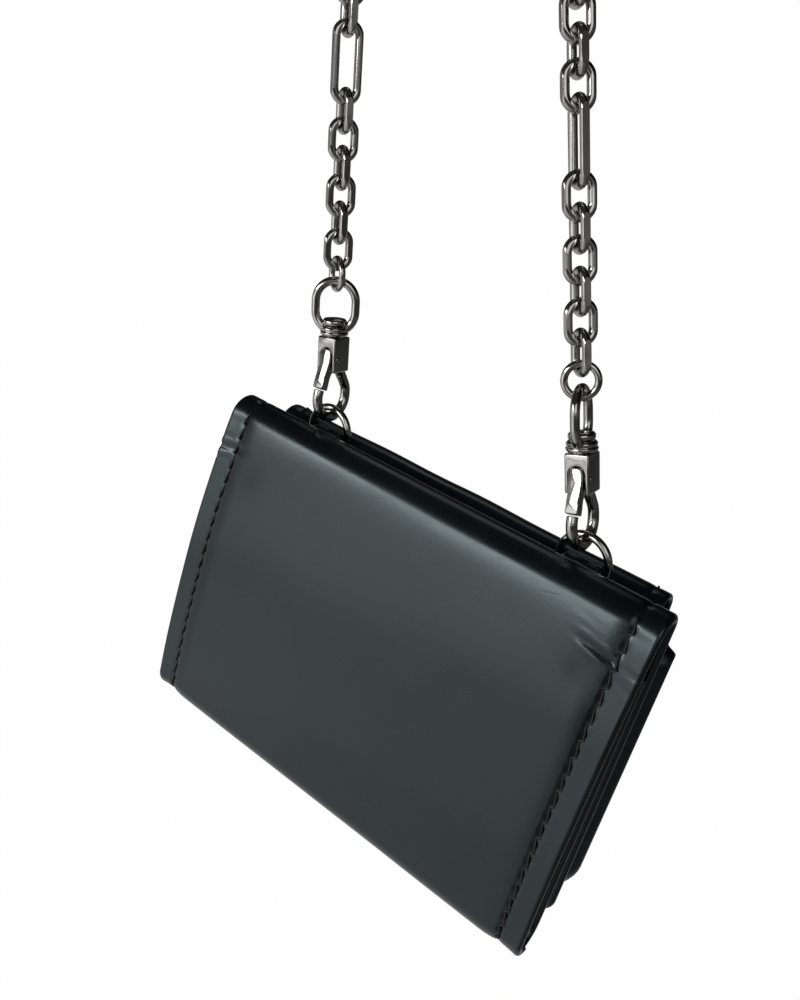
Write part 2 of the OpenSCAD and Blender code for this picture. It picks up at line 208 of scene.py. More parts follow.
def mixedColor(tree, mask, first, second):
    node = addNode(tree, "ShaderNodeMix", data_type="RGBA")
    tree.links.new(mask, node.inputs["Factor"])
    node.inputs["A"].default_value = (*first, 1)
    node.inputs["B"].default_value = (*second, 1)
    return node.outputs["Result"]


def addBump(tree, shader, height, distance, strength=1):
    bump = addNode(tree, "ShaderNodeBump")
    bump.inputs["Distance"].default_value = distance
    bump.inputs["Strength"].default_value = strength
    tree.links.new(height, bump.inputs["Height"])
    tree.links.new(bump.outputs["Normal"], shader.inputs["Normal"])


hideFinish = {
    "deep": (0.0028, 0.0048, 0.0058),
    "worn": (0.0050, 0.0080, 0.0092),
    "tint": (0.80, 1.0, 1.03, 1),
    "roughness": (0.24, 0.31),
    "grainDepth": 0.00003,
    "scratch": 0.10,
    "coat": 0.12,
    "coatRoughness": 0.16,
}


def makeHide():
    material, tree, shader = newMaterial("hide")
    marks = placeGroup(tree, handlingMarks)
    grain = placeGroup(tree, hideGrain)
    smudge = mapped(tree, marks.outputs["Smudge"], 0.38, 0.66, 0, 1)
    color = mixedColor(tree, smudge, hideFinish["deep"], hideFinish["worn"])
    tree.links.new(color, shader.inputs["Base Color"])
    low, high = hideFinish["roughness"]
    rough = combined(tree, mapped(tree, smudge, 0, 1, low, high),
                     scaled(tree, marks.outputs["Scratch"], hideFinish["scratch"]))
    tree.links.new(rough, shader.inputs["Roughness"])
    shader.inputs["Specular Tint"].default_value = hideFinish["tint"]
    shader.inputs["Coat Weight"].default_value = hideFinish["coat"]
    shader.inputs["Coat Roughness"].default_value = hideFinish["coatRoughness"]
    addBump(tree, shader, grain.outputs["Height"], hideFinish["grainDepth"], 0.5)
    return material


def makeLining():
    material, tree, shader = newMaterial("lining")
    grain = placeGroup(tree, hideGrain, **{"Pore Scale": 1500, "Ripple Scale": 700, "Ripple Share": 0.8})
    color = mixedColor(tree, grain.outputs["Height"], (0.004, 0.006, 0.007), (0.012, 0.016, 0.018))
    tree.links.new(color, shader.inputs["Base Color"])
    tree.links.new(mapped(tree, grain.outputs["Height"], 0, 1, 0.5, 0.75), shader.inputs["Roughness"])
    addBump(tree, shader, grain.outputs["Height"], 0.00006, 0.6)
    return material


def makeThread():
    material, tree, shader = newMaterial("thread")
    where = addNode(tree, "ShaderNodeTexCoord").outputs["Object"]
    ply = noiseField(tree, where, 1, 2, (1500, 1500, 5200))
    tree.links.new(mixedColor(tree, ply, (0.0010, 0.0013, 0.0016), (0.006, 0.007, 0.008)),
                   shader.inputs["Base Color"])
    tree.links.new(mapped(tree, ply, 0, 1, 0.45, 0.65), shader.inputs["Roughness"])
    addBump(tree, shader, ply, 0.00008)
    return material


def makeMetal(name, color, dull, roughness):
    material, tree, shader = newMaterial(name)
    marks = placeGroup(tree, handlingMarks, **{"Smudge Scale": 260, "Scratch Scale": 2.2})
    smudge = mapped(tree, marks.outputs["Smudge"], 0.35, 0.7, 0, 1)
    tree.links.new(mixedColor(tree, smudge, color, dull), shader.inputs["Base Color"])
    rough = combined(tree, mapped(tree, smudge, 0, 1, *roughness),
                     scaled(tree, marks.outputs["Scratch"], 0.06))
    tree.links.new(rough, shader.inputs["Roughness"])
    shader.inputs["Metallic"].default_value = 1
    addBump(tree, shader, marks.outputs["Smudge"], 0.00005, 0.25)
    return material


hide = makeHide()
lining = makeLining()
thread = makeThread()
nickel = makeMetal("nickel", (0.50, 0.49, 0.475), (0.36, 0.355, 0.345), (0.08, 0.17))
studSteel = makeMetal("studSteel", (0.42, 0.42, 0.42), (0.30, 0.30, 0.30), (0.18, 0.3))
print("materials made")


def lengthsAlong(path):
    lengths = [0]
    for a, b in zip(path, path[1:]):
        lengths.append(lengths[-1] + hypot(b[0] - a[0], b[1] - a[1]))
    return lengths


def skinTube(mesh, loops, closed=False):
    # Joins each ring of points to the next one, and closes the two ends
    pairs = list(zip(loops, loops[1:])) + ([(loops[-1], loops[0])] if closed else [])
    for a, b in pairs:
        for k in range(len(a)):
            i = (k + 1) % len(a)
            mesh.faces.new((a[k], a[i], b[i], b[k])).smooth = True
    if not closed:
        mesh.faces.new(loops[0][::-1])
        mesh.faces.new(loops[-1])


def arcPath(centre, radius, start, stop, steps=24):
    turns = [radians(start + (stop - start) * i / steps) for i in range(steps + 1)]
    return [(centre[0] + radius * cos(a), centre[1] + radius * sin(a), cos(a), sin(a)) for a in turns]


def panelPath(start, lean, fromT, toT, side):
    # A straight panel that hangs at a lean. Its outer face looks back at side 1, forward at -1
    a = radians(lean)
    return [(start[0] - t * sin(a), start[1] - t * cos(a), side * cos(a), -side * sin(a))
            for t in (fromT, toT)]


def ahead(lean):
    return Vector((-cos(radians(lean)), sin(radians(lean))))


def pathLength(path):
    return lengthsAlong(path)[-1]


def rimMarks(edge):
    # Distances in from a rounded edge, closer together towards the rim
    return [edge * (1 - cos(radians(15 * i))) for i in range(6)]


def rowsAlong(path, step, edge):
    lengths = lengthsAlong(path)
    total = lengths[-1]
    rim = rimMarks(edge)
    count = ceil((total - 2 * edge) / step)
    marks = rim + [edge + (total - 2 * edge) * i / count for i in range(count + 1)]
    marks += [total - mark for mark in reversed(rim)]
    return [rowAt(path, lengths, mark) for mark in marks], total


def rowAt(path, lengths, mark):
    i = min(max(bisect_right(lengths, mark) - 1, 0), len(path) - 2)
    span = lengths[i + 1] - lengths[i] or 1
    t = (mark - lengths[i]) / span
    a, b = path[i], path[i + 1]
    y, z, ny, nz = (a[k] + (b[k] - a[k]) * t for k in range(4))
    size = hypot(ny, nz)
    return mark, y, z, ny / size, nz / size


def columnsFor(half, edge, seamWidth, seamStep, middleStep):
    rim = rimMarks(edge)
    seam = [edge + seamStep * i for i in range(ceil((seamWidth - edge) / seamStep))]
    inner = half - seamWidth
    count = ceil(2 * inner / middleStep)
    middle = [-inner + 2 * inner * i / count for i in range(count + 1)]
    left = [-half + e for e in rim + seam]
    return left + middle + [-x for x in reversed(left)]


def rounding(distance, edge):
    return edge - sqrt(max(edge * edge - max(edge - distance, 0) ** 2, 0)) if distance < edge else 0


def flat(x, s):
    return 0, 0


def makeSheet(name, path, half, thick, lift=flat, step=0.8, seamWidth=6.5, seamStep=0.45,
              middleStep=1.7, halfAt=None, turned=4.5, materials=None):
    edge = thick / 2
    rows, total = rowsAlong(path, step, edge)
    columns = columnsFor(half, edge, seamWidth, seamStep, middleStep)
    mesh = bmesh.new()
    loops = []
    for s, y, z, ny, nz in rows:
        share = halfAt(s, total) / half if halfAt else 1
        endIn = rounding(min(s, total - s), edge)
        outer, inner = [], []
        for x in columns:
            shape, detail = lift(x, s)
            pull = max(rounding(half - abs(x), edge), endIn)
            h = shape + (0 if pull >= edge else detail) - pull
            outer.append(mesh.verts.new(place(x * share, y + ny * h, z + nz * h)))
            h = shape - thick + pull
            inner.append(mesh.verts.new(place(x * share, y + ny * h, z + nz * h)))
        loops.append(outer + inner[::-1])
    size = len(loops[0])
    count = len(columns)
    for k, (a, b) in enumerate(zip(loops, loops[1:])):
        inside = turned < rows[k][0] < total - turned
        for j in range(size):
            i = (j + 1) % size
            face = mesh.faces.new((a[j], a[i], b[i], b[j]))
            x = columns[j] if j < count else columns[2 * count - 1 - j]
            face.material_index = 1 if j >= count and inside and abs(x) < half - turned else 0
            face.smooth = True
    bmesh.ops.remove_doubles(mesh, verts=mesh.verts, dist=1e-7)
    bmesh.ops.recalc_face_normals(mesh, faces=mesh.faces)
    piece = finishMesh(name, mesh, *(materials or (hide, lining)))
    return piece, {"path": path, "lift": lift, "total": total}


def finishMesh(name, mesh, *materials):
    data = bpy.data.meshes.new(name)
    mesh.to_mesh(data)
    mesh.free()
    for material in materials:
        data.materials.append(material)
    piece = bpy.data.objects.new(name, data)
    bpy.context.scene.collection.objects.link(piece)
    return piece


def addCapsule(mesh, centre, along, side, up, halfLength, halfWidth, halfHeight):
    rings, sides = 8, 8
    loops = []
    for i in range(rings + 1):
        t = -cos(pi * i / rings)
        width = sqrt(max(1 - t ** 4, 0.0004))
        ring = []
        for k in range(sides):
            a = tau * k / sides
            off = side * (cos(a) * halfWidth * width)
            ring.append(mesh.verts.new(centre + along * (t * halfLength) + off
                                       + up * (sin(a) * halfHeight * width)))
        loops.append(ring)
    skinTube(mesh, loops)


stitch = {
    "pitch": 3.7,
    "halfLength": 1.7,
    "halfWidth": 0.25,
    "halfHeight": 0.24,
    "slant": 12,
    "sink": 0.06,
    "jitter": 0.05,  # how far a thread strays from the seam's line
    # the slit sizes set a raised thread-coloured blob that paints the shade of each needle hole
    "slit": 0.75,
    "slitWidth": 0.3,
    "slitHeight": 0.16,
    "slitTurn": 0.5,  # radians off the seam's square
}


def cornerHalf(half, radius, atStart):
    # The half width of a sheet whose last corners are round
    def halfAt(s, total):
        left = s if atStart else total - s
        if left >= radius:
            return half
        return half - radius + sqrt(max(radius ** 2 - (radius - left) ** 2, 0.01))
    return halfAt


def makeStitches(name, sheet, seamX, fromS, toS, slantSide=1):
    # A saddle stitch: each thread slants across the seam line and the next one starts beside its end
    path = sheet["path"]
    lengths = lengthsAlong(path)
    mesh = bmesh.new()
    chance = random.Random(name)
    count = int((toS - fromS) / stitch["pitch"])
    for i in range(count):
        s = fromS + (i + 0.5) * (toS - fromS) / count
        mark, y, z, ny, nz = rowAt(path, lengths, s)
        x = seamX(s) if callable(seamX) else seamX
        h = sheet["lift"](x, s)[0] - stitch["sink"]
        centre = place(x + chance.uniform(-stitch["jitter"], stitch["jitter"]), y + ny * h, z + nz * h)
        up = (depthAxis * ny + riseAxis * nz).normalized()
        run = widthAxis.cross(up)
        slant = radians(stitch["slant"] + chance.uniform(-2, 2)) * slantSide
        along = run * cos(slant) + widthAxis * sin(slant)
        side = along.cross(up)
        addCapsule(mesh, centre, along, side, up, stitch["halfLength"] * mm,
                   stitch["halfWidth"] * mm, stitch["halfHeight"] * mm)
        # a thread-coloured blob at the slit that the next thread goes down, slanted the other way: partly
        # that thread, partly painted shade for the dark needle hole
        mark, y, z, ny, nz = rowAt(path, lengths, s + stitch["pitch"] / 2)
        slit = place(x, y + ny * h, z + nz * h)
        turn = stitch["slitTurn"]
        across = (widthAxis * cos(turn) - run * slantSide * sin(turn)).normalized()
        addCapsule(mesh, slit, across, across.cross(up), up, stitch["slit"] * mm,
                   stitch["slitWidth"] * mm, stitch["slitHeight"] * mm)
    return finishMesh(name, mesh, thread)


wallet = {
    "half": 56,
    "drop": 72,
    "thick": 2.0,
    "foldRadius": 3.4,
    "bottomRadius": 5.2,
    "leanTop": 22,
    "leanBottom": 4,
    "innerLean": 7,
    "backLean": 6,
    "backDrop": 72,
    "innerShare": 0.85,
    "seamIn": 5.3,  # from the side edge to the line of stitches
    "corner": 4,
    "split": 268,  # where the bottom fold's two sheets meet
    "tuck": 1.2,  # how far the used fold has crept back under the wallet
}
topCentre = sectionPoint("leaf_open")
bottomCentre = sectionPoint("inner_open") + Vector((wallet["tuck"], 0))
leafStart = topCentre + wallet["foldRadius"] * ahead(wallet["leanTop"])
leafRadius = wallet["drop"] / (sin(radians(wallet["leanTop"])) - sin(radians(wallet["leanBottom"])))
leafCentre = leafStart - leafRadius * ahead(wallet["leanTop"])
backStart = topCentre - wallet["foldRadius"] * ahead(wallet["backLean"])

backPath = panelPath(backStart, wallet["backLean"], wallet["backDrop"], 0.4, 1)
nosePath = arcPath(topCentre, wallet["foldRadius"], -wallet["backLean"], 90)
browRadius, browLean, swellLean, swellReach = 5.6, 21, 14.5, 11


def leanAt(s):
    # How far the cover leans at a distance below the crest: round over the brow, then a long easy curve
    brow = browRadius * radians(90 - browLean)
    if s < brow:
        return 90 - s / browRadius * 180 / pi
    t = min((s - brow) / swellReach, 1)
    ease = browLean + (swellLean - browLean) * t * (2 - t)
    rest = max(s - brow - swellReach, 0) / (wallet["drop"] - brow - swellReach + 4)
    return ease + (wallet["leanBottom"] - swellLean) * rest


def makeLeafPath():
    y, z = nosePath[-1][0], nosePath[-1][1]
    end = bottomCentre + wallet["bottomRadius"] * ahead(wallet["leanBottom"])
    step, s = 0.5, 0
    points = []
    while z > end.y:
        lean = radians(leanAt(s + step / 2))
        y -= sin(lean) * step
        z -= cos(lean) * step
        s += step
        lean = radians(leanAt(s))
        points.append((y, z, -cos(lean), sin(lean), s))
    miss = end.x - y
    return [(a + miss * (t / s) ** 1.5, b, ny, nz) for a, b, ny, nz, t in points[:-1]]


leafPath = makeLeafPath()
toesPath = arcPath(bottomCentre, wallet["bottomRadius"], 180 - wallet["leanBottom"], wallet["split"])
coverPath = backPath + nosePath + leafPath + toesPath
crest = pathLength(backPath + nosePath)  # the nose's highest line, measured along the cover
leafEnd = pathLength(backPath + nosePath + leafPath)

creases = [
    # x, distance below the crest, x, distance, depth, width: the kinks that run in from the seams
    (49.6, 14.4, 43.0, 13.0, 0.85, 0.70),
    (56, 15.0, 51.6, 14.4, 0.22, 0.50),
    (50, 13.4, 42.5, 10.6, 0.20, 0.35),
    (49, 12.4, 41.0, 8.6, 0.15, 0.30),
    (48, 14.2, 40.5, 12.2, 0.18, 0.35),
    (49.5, 11.4, 43.5, 6.8, 0.07, 0.30),
    (47, 9.8, 36.0, 6.4, 0.06, 0.30),
    (56, 18.6, 52.0, 17.4, 0.10, 0.60),
    (-56, 15.2, -47.0, 13.6, 0.45, 0.75),
    (-50, 13.8, -44.0, 11.2, 0.10, 0.35),
    (-56, 12.4, -51.5, 12.2, 0.14, 0.40),
    (-56, 18.2, -51.0, 17.4, 0.14, 0.50),
    # the small lines that the D rings press into the nose
    (-38, 0.6, -30, 1.8, 0.16, 0.5),
    (30, 0.8, 38.5, 2.2, 0.20, 0.5),
    (33, 3.2, 39, 4.6, 0.10, 0.5),
]
dents = [
    # x, distance below the crest, across, along, depth: soft hollows and swells of a used panel
    (47, 19, 5, 5, -0.45),
    (-47, 19, 5, 5, -0.35),
    (-4, 40, 8, 5, -0.10),
    (-30, 32, 18, 12, 0.22),
    (22, 26, 26, 9, 0.16),
    (28, 52, 16, 14, -0.16),
    (-22, 58, 20, 10, -0.14),
    (12, 64, 24, 6, 0.12),
]


def creaseDepth(x, d):
    depth = 0
    for x0, d0, x1, d1, deep, wide in creases:
        ex, ed = x1 - x0, d1 - d0
        t = max(0, min(1, ((x - x0) * ex + (d - d0) * ed) / (ex * ex + ed * ed)))
        gap = hypot(x - x0 - t * ex, d - d0 - t * ed)
        if gap < 3 * wide:
            ridge = 0.35 * exp(-(gap / wide - 1.6) ** 2)
            depth -= deep * (1 - 0.7 * t) * (exp(-(gap / wide) ** 2) - ridge)
    return depth


def seamPucker(x, s, half, seamIn, depth=0.3):
    # The hide is drawn down along the stitches, most of all where the needle went through
    gap = abs(abs(x) - (half - seamIn))
    if gap > 2.4:
        return 0
    hole = 0.5 + 0.5 * cos(tau * s / stitch["pitch"])
    return -depth * exp(-(gap / 0.6) ** 2) * (0.6 + 0.9 * hole ** 3)


def coverLift(x, s):
    half = wallet["half"]
    d = s - crest
    front = max(0, min(1, (d - 1) / 7))
    # 0 at the stitches, 1 on the open panel
    inward = max(0, min(1, (half - wallet["seamIn"] - abs(x)) / 4.5))
    shape = -0.5 * front * (1 - inward) ** 2.2
    shape += 0.16 * front * noise.noise(Vector((x * 0.035, d * 0.045, 3.1)))
    if d > 0:
        for cx, cd, across, along, deep in dents:
            shape += deep * exp(-((x - cx) / across) ** 2 - ((d - cd) / along) ** 2)
    outward = max(0, abs(x) - half + wallet["seamIn"]) / wallet["seamIn"]
    shape += 0.35 * front * outward ** 2
    detail = seamPucker(x, s, half, wallet["seamIn"])
    if -4 < d < 30:
        shape += creaseDepth(x, d)
    return shape, detail


cover, coverSheet = makeSheet(
    "coverSheet", coverPath, wallet["half"], wallet["thick"], coverLift, step=0.7,
    halfAt=cornerHalf(wallet["half"], wallet["corner"], True))
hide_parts("back_wall", "back_lining", "top_fold", "front_leaf", "leaf_lining")


def acrossTopFold(piece):
    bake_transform(piece)


acrossTopFold(cover)

for side, tag in ((-1, "left"), (1, "right")):
    seamX = side * (wallet["half"] - wallet["seamIn"])
    row = makeStitches("coverStitches_" + tag, coverSheet, seamX, crest + 4.2, leafEnd + 2, side)
    acrossTopFold(row)
    row = makeStitches("backStitches_" + tag, coverSheet, seamX, 4, crest - 5, side)
    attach(row, "wallet")
print("cover sewn")


innerHalf = 55.5
innerStart = bottomCentre - wallet["bottomRadius"] * ahead(wallet["innerLean"])
innerHeight = wallet["drop"] * wallet["innerShare"]
heelPath = arcPath(bottomCentre, wallet["bottomRadius"] - 0.1, wallet["split"] - 6,
                   360 - wallet["innerLean"])
risePath = panelPath(innerStart, wallet["innerLean"], -0.3, -innerHeight, 1)


def innerLift(x, s):
    shape = 0.25 * noise.noise(Vector((x * 0.03, s * 0.05, 9.4)))
    return shape, seamPucker(x, s, innerHalf, wallet["seamIn"], 0.14)


inner, innerSheet = makeSheet("innerSheet", heelPath + risePath, innerHalf, 1.9, innerLift)
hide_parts("inner_leaf", "inner_lining", "bottom_fold")


def acrossBottomFold(piece):
    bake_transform(piece)


acrossBottomFold(inner)
for side, tag in ((-1, "left"), (1, "right")):
    row = makeStitches("innerStitches_" + tag, innerSheet, side * (innerHalf - wallet["seamIn"]), 9,
                       innerSheet["total"] - 3, side)
    acrossBottomFold(row)

pocket = {"sheet": 0.8, "wall": 2.0, "step": 11, "slots": 3, "clear": 0.1, "half": 55, "cardHalf": 54}


def reversedPath(path):
    return [(y, z, -ny, -nz) for y, z, ny, nz in path]


def offsetPath(path, depth):
    return [(y - ny * depth, z - nz * depth, ny, nz) for y, z, ny, nz in path]


for slot in range(pocket["slots"]):
    depth = pocket["wall"] + slot * pocket["sheet"] + pocket["clear"]
    reach = innerHeight - 8 - slot * pocket["step"]
    face = offsetPath(panelPath(innerStart, wallet["innerLean"], -5, -reach, 1),
                      depth + pocket["sheet"] - pocket["clear"])
    card, _ = makeSheet(f"cardSlot_{slot + 1}", reversedPath(face), pocket["cardHalf"],
                        pocket["sheet"] - pocket["clear"], step=2, seamWidth=4, middleStep=4,
                        materials=(hide, hide))
    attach(card, "inner")
    if slot == 0:
        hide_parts("card_slots")

pocketDepth = pocket["wall"] + pocket["sheet"] + pocket["clear"]
notesPath = panelPath(backStart, wallet["backLean"], wallet["backDrop"] - 3, wallet["backDrop"] * 0.16, 1)
notes, _ = makeSheet("notePocket", reversedPath(offsetPath(notesPath, pocketDepth)), pocket["half"],
                     pocket["sheet"], step=2, seamWidth=4, middleStep=4, materials=(hide, hide))
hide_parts("note_pocket")
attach(notes, "wallet")

leafShares = (0.45, 0.94)  # where the leaf's pocket starts and ends down the leaf
leafLeans = [wallet["leanTop"] + (wallet["leanBottom"] - wallet["leanTop"]) * t for t in leafShares]
leafFace = offsetPath(arcPath(leafCentre, leafRadius, 180 - leafLeans[0], 180 - leafLeans[1]),
                      pocketDepth)


def leafPocketLift(x, s):
    return -coverLift(x, crest + 8 + leafShares[0] * wallet["drop"] + s)[0], 0


leafPocket, _ = makeSheet("leafPocket", reversedPath(leafFace), pocket["half"], pocket["sheet"],
                          leafPocketLift, step=2, seamWidth=4, middleStep=4, materials=(hide, hide))
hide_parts("leaf_pocket")
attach(leafPocket, "leaf")
print("pockets made")


pouch = {
    "half": 54.2,
    "height": 69,
    "leather": 1.2,
    "foldRadius": 4.4,
    "lean": 8.8,
    "backLean": 5.5,
    "mouth": 6,
    "corner": 8,
    "gap": 0.15,
    "seamIn": 3,
    "drawIn": 4.4,  # how much narrower it is at the mouth
    "drawFrom": 30,
    "mouthCorner": 3.5,
}
flapSizes = {
    "half": 51,
    "height": 60,
    "lean": 4,
    "corner": 8,
    "seamIn": 3.4,
    "snap": 48,
    "snapRadius": 5.4,
}
flapCentre = sectionPoint("flap_open")
pouchStart = flapCentre + pouch["foldRadius"] * ahead(pouch["lean"])
flapStart = flapCentre - pouch["foldRadius"] * ahead(flapSizes["lean"])
pouchBackStart = flapStart - Vector((pouch["leather"] + 2 * pouch["gap"], 0))


def pouchHalf(s, total):
    # Rounded at the bottom, and drawn in a little towards the mouth
    half = cornerHalf(pouch["half"], pouch["corner"], True)(s, total)
    left = total - s
    half -= pouch["drawIn"] * max(0, 1 - left / pouch["drawFrom"]) ** 1.6
    return half - rounding(left, pouch["mouthCorner"])


def pouchLift(x, s):
    shape = 0.3 * noise.noise(Vector((x * 0.04, s * 0.05, 21.7)))
    return shape, seamPucker(x, s, pouch["half"], pouch["seamIn"], 0.12)


pouchFront, pouchFrontSheet = makeSheet(
    "pouchFront", panelPath(pouchStart, pouch["lean"], pouch["height"], pouch["mouth"] + 0.6, -1),
    pouch["half"], pouch["leather"], pouchLift, step=1, seamWidth=5,
    halfAt=pouchHalf)
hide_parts("pouch_front")
pouchBack, pouchBackSheet = makeSheet(
    "pouchBack", panelPath(pouchBackStart, pouch["backLean"], pouch["height"], pouch["mouth"], 1),
    pouch["half"], pouch["leather"], pouchLift, step=1, seamWidth=5,
    halfAt=pouchHalf)
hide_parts("pouch_back")

foldFrom, foldTo = 180 - pouch["lean"], -flapSizes["lean"]
flapPath = panelPath(pouchStart, pouch["lean"], 13, 0.2, -1)
flapPath += arcPath(flapCentre, pouch["foldRadius"], foldFrom, foldTo)
flapCrest = pathLength(flapPath) / 2 + 6.4
flapPath += panelPath(flapStart, flapSizes["lean"], 0.2, flapSizes["height"], 1)


def flapLift(x, s):
    d = s - flapCrest
    shape = 0.25 * noise.noise(Vector((x * 0.04, s * 0.05, 33.1)))
    shape -= 0.5 * exp(-(d / 7) ** 2) * (0.5 + 0.5 * noise.noise(Vector((x * 0.05, 0.3, 1.9))))
    return shape, seamPucker(x, s, flapSizes["half"], flapSizes["seamIn"], 0.16)


flap, flapSheet = makeSheet(
    "flapSheet", flapPath, flapSizes["half"], pouch["leather"], flapLift,
    halfAt=cornerHalf(flapSizes["half"], flapSizes["corner"], False))
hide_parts("flap_fold", "coin_flap")


def acrossFlapFold(piece):
    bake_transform(piece)


acrossFlapFold(flap)
for side, tag in ((-1, "left"), (1, "right")):
    row = makeStitches("flapStitches_" + tag, flapSheet,
                       side * (flapSizes["half"] - flapSizes["seamIn"]), flapCrest + 0.6,
                       flapSheet["total"] - flapSizes["corner"] - 1, side)
    acrossFlapFold(row)
    for sheet, name in ((pouchFrontSheet, "pouchFrontStitches_"),
                        (pouchBackSheet, "pouchBackStitches_")):
        row = makeStitches(name + tag, sheet, side * (pouch["half"] - pouch["seamIn"]), pouch["corner"],
                           sheet["total"] - 2, side)
        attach(row, "wallet")
for piece in (pouchFront, pouchBack):
    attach(piece, "wallet")


def makeGusset():
    # A folded strip that runs down one side of the pouch, along its bottom and up the other side
    half, low, corner = pouch["half"] - 1.2, pouch["height"] - 1.2, pouch["corner"] - 1
    outline = [(-half, pouch["mouth"] + 1 + i * 4) for i in range(14)]
    for centreX, start in ((-half + corner, 180), (half - corner, 270)):
        for i in range(11):
            a = radians(start + 9 * i)
            outline.append((centreX + corner * cos(a), low - corner - corner * sin(a)))
    outline += [(half, t) for x, t in reversed(outline[:14])]
    mesh = bmesh.new()
    loops = []
    for k, (x, t) in enumerate(outline):
        before, after = outline[max(k - 1, 0)], outline[min(k + 1, len(outline) - 1)]
        run = Vector((after[0] - before[0], after[1] - before[1])).normalized()
        inward = Vector((run.y, -run.x)) * (-1)
        front = pouchStart[0] + pouch["leather"] - t * sin(radians(pouch["lean"]))
        back = pouchBackStart[0] - pouch["leather"] - t * sin(radians(pouch["backLean"]))
        z = pouchStart[1] - t * cos(radians(pouch["lean"]))
        section = []
        for thick in (0, 0.9):
            steps = range(13) if thick == 0 else range(12, -1, -1)
            for i in steps:
                share = i / 12
                pleat = 2.6 * sin(pi * share) ** 1.5 + thick
                section.append(mesh.verts.new(place(
                    x + inward.x * pleat, front + (back - front) * share, z - inward.y * pleat)))
        loops.append(section)
    skinTube(mesh, loops)
    bmesh.ops.recalc_face_normals(mesh, faces=mesh.faces)
    return finishMesh("pouchGusset", mesh, hide)


gusset = makeGusset()
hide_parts("pouch_gusset")
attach(gusset, "wallet")
print("pouch made")


def lathe(name, profile, origin, axis, material, sides=40):
    # Turns a profile of (radius, height) points about an axis
    axis = Vector(axis).normalized()
    side = axis.orthogonal().normalized()
    other = axis.cross(side)
    mesh = bmesh.new()
    loops = []
    for radius, height in profile:
        ring = []
        for k in range(sides):
            a = tau * k / sides
            out = (side * cos(a) + other * sin(a)) * max(radius, 0.001)
            ring.append(mesh.verts.new(Vector(origin) + (axis * height + out) * mm))
        loops.append(ring)
    skinTube(mesh, loops)
    bmesh.ops.recalc_face_normals(mesh, faces=mesh.faces)
    return finishMesh(name, mesh, material)


def makeSnapCap():
    lean = radians(flapSizes["lean"])
    t = flapSizes["snap"]
    centre = flapStart + Vector((-t * sin(lean), -t * cos(lean)))
    axis = depthAxis * cos(lean) - riseAxis * sin(lean)
    r = flapSizes["snapRadius"]
    profile = [(r - 0.3, 0.0), (r, 0.15), (r, 0.45), (r - 0.25, 0.7), (r - 0.9, 0.8), (r - 1.1, 0.95)]
    profile += [((r - 1.1) * cos(radians(a)), 0.95 + 0.55 * sin(radians(a))) for a in range(15, 91, 15)]
    cap = lathe("snapCap", profile, place(0, centre[0], centre[1]), axis, studSteel)
    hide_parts("snap_cap")
    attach(cap, "flap")


makeSnapCap()

ringTab = {"half": 3.85, "outer": 1.93, "leather": 1.0, "tail": 14, "gap": 68}


def makeRingTab(side, tag):
    outer = ringTab["outer"]
    tailFront = [(-outer, -ringTab["tail"], -1, 0), (-outer, -0.2, -1, 0)]
    loop = arcPath((0, 0), outer, 180, -28, 26)
    tailBack = [(outer - 1.0, -2.4, 0.9, -0.42), (0.35, -4.0, 0.97, -0.2), (0.07, -6, 1, 0),
                (0.07, -ringTab["tail"], 1, 0)]
    lean = radians(wallet["backLean"])
    path = []
    for y, z, ny, nz in tailFront + loop + tailBack:
        path.append((y * cos(lean) + z * sin(lean), -y * sin(lean) + z * cos(lean),
                     ny * cos(lean) + nz * sin(lean), -ny * sin(lean) + nz * cos(lean)))
    tab, _ = makeSheet("ringTab_" + tag, path, ringTab["half"], ringTab["leather"] - 0.02, step=0.6,
                       seamWidth=1.5, seamStep=0.4, middleStep=1, turned=0.6)
    tab.data.transform(Matrix.Translation(widthAxis * side * ringTab["gap"] / 2 * mm))
    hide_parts("ring_tab_" + tag)
    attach(tab, "wallet")


for side, tag in ((-1, "left"), (1, "right")):
    makeRingTab(side, tag)
print("tabs made")


clasp = {
    "hookBase": 14.0,  # from the D ring's bend centre to the underside of the head
    "hookCentre": 8.0,
    "hookRadius": 4.8,
    "wire": 2.3,
    "head": 5.2,
    "headHeight": 7.9,
    "gate": 2.8,
    "slotGap": 0.25,  # beside the gate, in the head's slot
    "slotRise": 3.9,
    "pinY": -1.3,
    "pinRise": 3.0,
    "collarBase": 22.02,
    "collarHeight": 2.2,
    "collarRadius": 3.2,
    "rivetRadius": 2.7,
    "shank": 1.3,
    "eyeRadius": 4.5,
    "eyeWire": 1.9,
    "eyeSide": 2.2,
}


def claspFrame(tag):
    joint = joints[tag + "_swivel"]
    up = Vector(joint["axis"]).normalized()
    side = depthAxis.cross(up)
    origin = Vector(joint["pos_m"]) - up * clasp["hookBase"] * mm

    def at(x, y, z):
        return origin + (side * x + depthAxis * y + up * z) * mm
    return at, up, side


def smoothTrack(points, steps):
    # A Catmull-Rom run through the points; each point may carry its own radii
    out = []
    count = len(points)
    for i in range(count - 1):
        p = [Vector(points[min(max(i + k, 0), count - 1)]) for k in (-1, 0, 1, 2)]
        for n in range(steps):
            t = n / steps
            bend = 2 * p[0] - 5 * p[1] + 4 * p[2] - p[3]
            twist = 3 * p[1] - p[0] - 3 * p[2] + p[3]
            out.append(0.5 * (2 * p[1] + (p[2] - p[0]) * t + bend * t * t + twist * t ** 3))
    out.append(Vector(points[-1]))
    return out


